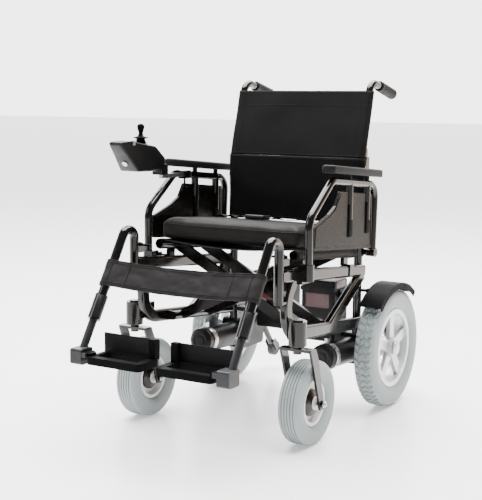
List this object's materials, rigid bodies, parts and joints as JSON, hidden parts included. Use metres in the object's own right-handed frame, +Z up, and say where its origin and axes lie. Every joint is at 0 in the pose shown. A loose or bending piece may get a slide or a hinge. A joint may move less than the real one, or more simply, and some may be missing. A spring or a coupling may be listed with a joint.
{
  "type": "power wheelchair",
  "caption": "Folding power wheelchair with cross-braced side frames, drive motors, swivel casters, flip-up arms, swing-away footrests and a joystick controller",
  "frame": {"origin": "on the floor, under the middle of the chair's bounding box", "axes": "+Z up, -Y the way the occupant faces, +X the occupant's left"},
  "size_m": [0.638, 1.083, 0.9717],
  "materials": {
    "frame_black": "gloss black enamel",
    "chromed_black": "gloss black enamel, bent tube",
    "rim_silver": "painted silver, satin",
    "rim_white": "painted light grey",
    "tyre_grey": "non-marking light grey polyurethane, matt",
    "upholstery": "black nylon, low sheen",
    "webbing": "woven black webbing",
    "pad_pu": "self-skinned polyurethane, matt",
    "grip_rubber": "ribbed black rubber",
    "gloss_plastic": "gloss black moulding",
    "matt_plastic": "textured black moulding",
    "motor_black": "satin black",
    "zinc": "zinc plated"
  },
  "bodies": {
    "left_frame": {"left_side_frame": "frame_black", "left_drive_motor": "motor_black", "left_mudguard": "matt_plastic", "left_anti_tip_tube": "frame_black", "left_battery": "matt_plastic", "back_lower": "upholstery"},
    "right_frame": {"right_side_frame": "frame_black", "right_drive_motor": "motor_black", "right_mudguard": "matt_plastic", "right_anti_tip_tube": "frame_black", "right_battery": "matt_plastic"},
    "brace_a": {"cross_brace_a": "frame_black"},
    "brace_b": {"cross_brace_b": "frame_black"},
    "seat": {"seat_sling": "upholstery", "seat_cushion": "upholstery", "seat_belt": "webbing"},
    "left_drive_wheel": {"left_drive_rim": "rim_silver", "left_drive_tyre": "tyre_grey"},
    "left_caster": {"left_caster_fork": "frame_black"},
    "left_caster_wheel": {"left_caster_rim": "rim_white", "left_caster_tyre": "tyre_grey"},
    "left_tip_wheel": {"left_anti_tip_wheel": "matt_plastic"},
    "left_back": {"left_upper_cane": "chromed_black", "left_push_grip": "grip_rubber", "back_upper": "upholstery"},
    "left_latch": {"left_back_latch": "matt_plastic"},
    "left_armrest": {"left_arm_frame": "chromed_black", "left_side_panel": "gloss_plastic"},
    "left_arm_rest_pad": {"left_arm_pad": "pad_pu"},
    "left_hanger": {"left_hanger": "chromed_black", "calf_strap": "upholstery"},
    "left_hanger_lever": {"left_hanger_lever": "matt_plastic"},
    "left_leg": {"left_footrest_leg": "chromed_black"},
    "left_footplate": {"left_footplate": "matt_plastic", "left_heel_loop": "webbing"},
    "right_drive_wheel": {"right_drive_rim": "rim_silver", "right_drive_tyre": "tyre_grey"},
    "right_caster": {"right_caster_fork": "frame_black"},
    "right_caster_wheel": {"right_caster_rim": "rim_white", "right_caster_tyre": "tyre_grey"},
    "right_tip_wheel": {"right_anti_tip_wheel": "matt_plastic"},
    "right_back": {"right_upper_cane": "chromed_black", "right_push_grip": "grip_rubber"},
    "right_latch": {"right_back_latch": "matt_plastic"},
    "right_armrest": {"right_arm_frame": "chromed_black", "right_side_panel": "gloss_plastic"},
    "right_arm_rest_pad": {"right_arm_pad": "pad_pu"},
    "right_hanger": {"right_hanger": "chromed_black"},
    "right_hanger_lever": {"right_hanger_lever": "matt_plastic"},
    "right_leg": {"right_footrest_leg": "chromed_black"},
    "right_footplate": {"right_footplate": "matt_plastic", "right_heel_loop": "webbing"},
    "control_arm": {"controller_bar": "zinc", "controller_housing": "matt_plastic"},
    "clamp_screw": {"thumb_screw": "matt_plastic"},
    "gimbal": {"joystick_gimbal": "matt_plastic"},
    "stick": {"joystick": "matt_plastic"},
    "power_key": {"power_button": "gloss_plastic"},
    "horn_key": {"horn_button": "gloss_plastic"},
    "speed_key": {"speed_rocker": "gloss_plastic"}
  },
  "joints": [
    {"name": "fold", "type": "hinge", "parent": "left_frame", "child": "brace_a", "pos_m": [0.196, 0.00101, 0.27867], "axis": [0, 0.9962, -0.0872], "range_deg": [0, 38], "deforming": ["seat_sling", "seat_cushion", "seat_belt", "back_upper", "back_lower", "calf_strap", "left_heel_loop", "right_heel_loop"]},
    {"name": "brace_cross", "type": "hinge", "parent": "brace_a", "child": "brace_b", "pos_m": [0, 0.00961, 0.37701], "axis": [0, 0.9962, -0.0872], "range_deg": [-76, 0]},
    {"name": "right_pivot", "type": "hinge", "parent": "brace_b", "child": "right_frame", "pos_m": [-0.196, 0.00101, 0.27867], "axis": [0, 0.9962, -0.0872], "range_deg": [0, 38]},
    {"name": "seat_level", "type": "hinge", "parent": "brace_b", "child": "seat", "pos_m": [0.215, 0.01905, 0.48488], "axis": [0, 0.9962, -0.0872], "range_deg": [0, 38]},
    {"name": "left_drive_roll", "type": "hinge", "parent": "left_frame", "child": "left_drive_wheel", "pos_m": [0.281, 0.3015, 0.177], "axis": [1, 0, 0], "continuous": true},
    {"name": "left_caster_swivel", "type": "hinge", "parent": "left_frame", "child": "left_caster", "pos_m": [0.261, -0.2345, 0.3], "axis": [0, 0, 1], "continuous": true},
    {"name": "left_caster_roll", "type": "hinge", "parent": "left_caster", "child": "left_caster_wheel", "pos_m": [0.261, -0.1745, 0.113], "axis": [1, 0, 0], "continuous": true},
    {"name": "left_tip_roll", "type": "hinge", "parent": "left_frame", "child": "left_tip_wheel", "pos_m": [0.228, 0.5165, 0.072], "axis": [1, 0, 0], "continuous": true},
    {"name": "left_back_fold", "type": "hinge", "parent": "left_frame", "child": "left_back", "pos_m": [0.214, 0.2442, 0.738], "axis": [-1, 0, 0], "range_deg": [0, 105]},
    {"name": "left_latch_pull", "type": "hinge", "parent": "left_frame", "child": "left_latch", "pos_m": [0.214, 0.2492, 0.683], "axis": [1, 0, 0], "range_deg": [0, 12], "stiffness_Nm_per_rad": 0.2},
    {"name": "left_arm_flip", "type": "hinge", "parent": "left_frame", "child": "left_armrest", "pos_m": [0.257, 0.2295, 0.47], "axis": [-1, 0, 0], "range_deg": [0, 100]},
    {"name": "left_pad_height", "type": "slide", "parent": "left_armrest", "child": "left_arm_rest_pad", "axis": [0, 0, 1], "range_m": [0, 0.05]},
    {"name": "left_hanger_swing", "type": "hinge", "parent": "left_frame", "child": "left_hanger", "pos_m": [0.228, -0.2805, 0.44], "axis": [0, 0, 1], "range_deg": [0, 100]},
    {"name": "left_lever_turn", "type": "hinge", "parent": "left_hanger", "child": "left_hanger_lever", "pos_m": [0.228, -0.2545, 0.506], "axis": [0, 0, -1], "range_deg": [0, 25], "stiffness_Nm_per_rad": 0.1},
    {"name": "left_leg_length", "type": "slide", "parent": "left_hanger", "child": "left_leg", "axis": [0, -0.5225, -0.8526], "range_m": [0, 0.06]},
    {"name": "left_footplate_flip", "type": "hinge", "parent": "left_leg", "child": "left_footplate", "pos_m": [0.199, -0.5415, 0.25], "axis": [0, 1, 0], "range_deg": [0, 90]},
    {"name": "right_drive_roll", "type": "hinge", "parent": "right_frame", "child": "right_drive_wheel", "pos_m": [-0.281, 0.3015, 0.177], "axis": [1, 0, 0], "continuous": true},
    {"name": "right_caster_swivel", "type": "hinge", "parent": "right_frame", "child": "right_caster", "pos_m": [-0.261, -0.2345, 0.3], "axis": [0, 0, 1], "continuous": true},
    {"name": "right_caster_roll", "type": "hinge", "parent": "right_caster", "child": "right_caster_wheel", "pos_m": [-0.261, -0.1745, 0.113], "axis": [1, 0, 0], "continuous": true},
    {"name": "right_tip_roll", "type": "hinge", "parent": "right_frame", "child": "right_tip_wheel", "pos_m": [-0.228, 0.5165, 0.072], "axis": [1, 0, 0], "continuous": true},
    {"name": "right_back_fold", "type": "hinge", "parent": "right_frame", "child": "right_back", "pos_m": [-0.214, 0.2442, 0.738], "axis": [-1, 0, 0], "range_deg": [0, 105]},
    {"name": "right_latch_pull", "type": "hinge", "parent": "right_frame", "child": "right_latch", "pos_m": [-0.214, 0.2492, 0.683], "axis": [1, 0, 0], "range_deg": [0, 12], "stiffness_Nm_per_rad": 0.2},
    {"name": "right_arm_flip", "type": "hinge", "parent": "right_frame", "child": "right_armrest", "pos_m": [-0.257, 0.2295, 0.47], "axis": [-1, 0, 0], "range_deg": [0, 100]},
    {"name": "right_pad_height", "type": "slide", "parent": "right_armrest", "child": "right_arm_rest_pad", "axis": [0, 0, 1], "range_m": [0, 0.05]},
    {"name": "right_hanger_swing", "type": "hinge", "parent": "right_frame", "child": "right_hanger", "pos_m": [-0.228, -0.2805, 0.44], "axis": [0, 0, -1], "range_deg": [0, 100]},
    {"name": "right_lever_turn", "type": "hinge", "parent": "right_hanger", "child": "right_hanger_lever", "pos_m": [-0.228, -0.2545, 0.506], "axis": [0, 0, 1], "range_deg": [0, 25], "stiffness_Nm_per_rad": 0.1},
    {"name": "right_leg_length", "type": "slide", "parent": "right_hanger", "child": "right_leg", "axis": [0, -0.5225, -0.8526], "range_m": [0, 0.06]},
    {"name": "right_footplate_flip", "type": "hinge", "parent": "right_leg", "child": "right_footplate", "pos_m": [-0.199, -0.5415, 0.25], "axis": [0, -1, 0], "range_deg": [0, 90]},
    {"name": "controller_reach", "type": "slide", "parent": "right_armrest", "child": "control_arm", "axis": [0, -1, 0], "range_m": [0, 0.05]},
    {"name": "thumb_screw_turn", "type": "hinge", "parent": "right_armrest", "child": "clamp_screw", "pos_m": [-0.239, -0.0165, 0.67], "axis": [0, 0, 1], "range_deg": [0, 180]},
    {"name": "stick_fore_aft", "type": "hinge", "parent": "control_arm", "child": "gimbal", "pos_m": [-0.269, -0.1935, 0.762], "axis": [1, 0, 0], "range_deg": [-16, 16], "stiffness_Nm_per_rad": 0.15},
    {"name": "stick_left_right", "type": "hinge", "parent": "gimbal", "child": "stick", "pos_m": [-0.269, -0.1935, 0.762], "axis": [0, 1, 0], "range_deg": [-16, 16], "stiffness_Nm_per_rad": 0.15},
    {"name": "power_press", "type": "slide", "parent": "control_arm", "child": "power_key", "axis": [0, 0, -1], "range_m": [0, 0.0015], "stiffness_N_per_m": 400},
    {"name": "horn_press", "type": "slide", "parent": "control_arm", "child": "horn_key", "axis": [0, 0, -1], "range_m": [0, 0.0015], "stiffness_N_per_m": 400},
    {"name": "speed_rock", "type": "hinge", "parent": "control_arm", "child": "speed_key", "pos_m": [-0.269, -0.1439, 0.7558], "axis": [1, 0, 0], "range_deg": [-6, 6], "stiffness_Nm_per_rad": 0.1}
  ],
  "couplings": [
    {"joint": "brace_cross", "follows": "fold", "ratio": -2},
    {"joint": "right_pivot", "follows": "fold", "ratio": 1},
    {"joint": "seat_level", "follows": "fold", "ratio": 1},
    {"joint": "left_footplate_flip", "follows": "fold", "ratio": 2.3684},
    {"joint": "right_footplate_flip", "follows": "fold", "ratio": 2.3684},
    {"joint": "right_back_fold", "follows": "left_back_fold", "ratio": 1}
  ]
}
